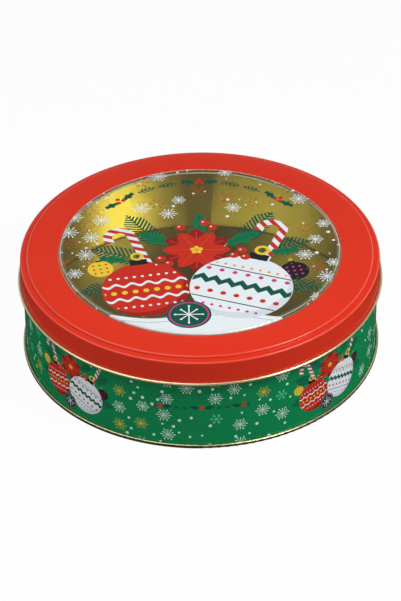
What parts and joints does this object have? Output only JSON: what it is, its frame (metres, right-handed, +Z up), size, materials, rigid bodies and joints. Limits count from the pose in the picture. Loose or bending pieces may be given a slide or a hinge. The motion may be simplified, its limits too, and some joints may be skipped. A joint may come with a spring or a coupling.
{
  "type": "round window lid tin",
  "caption": "Round tinplate tin with a folded bottom seam and a slip-on lid whose raised ring holds a clear, slightly domed window; the lid lifts straight off.",
  "frame": {"origin": "centre of the tin's foot, on the surface it stands on", "axes": "+Z up along the tin's axis; +Y towards the back, where the body's side seam is; -Y towards the front; +X to the right seen from the front"},
  "size_m": [0.2044, 0.2044, 0.0616],
  "materials": {
    "green_print": "glossy printed tinplate outside, gold lacquer inside",
    "gold_tinplate": "gold-lacquered tinplate, glossy",
    "red_print": "satin red printed tinplate outside, gold lacquer inside and on the rolled edge",
    "clear_plastic": "clear moulded plastic sheet with a printed pattern",
    "gold_ring": "gold-lacquered tinplate, glossy"
  },
  "bodies": {
    "tin": {"body_wall": "green_print", "base_plate": "gold_tinplate"},
    "lid": {"lid_frame": "red_print", "window_pane": "clear_plastic", "pane_retaining_ring": "gold_ring"}
  },
  "joints": [
    {"name": "lid_lift", "type": "slide", "parent": "tin", "child": "lid", "axis": [0, 0, 1], "range_m": [0, 0.08]}
  ]
}
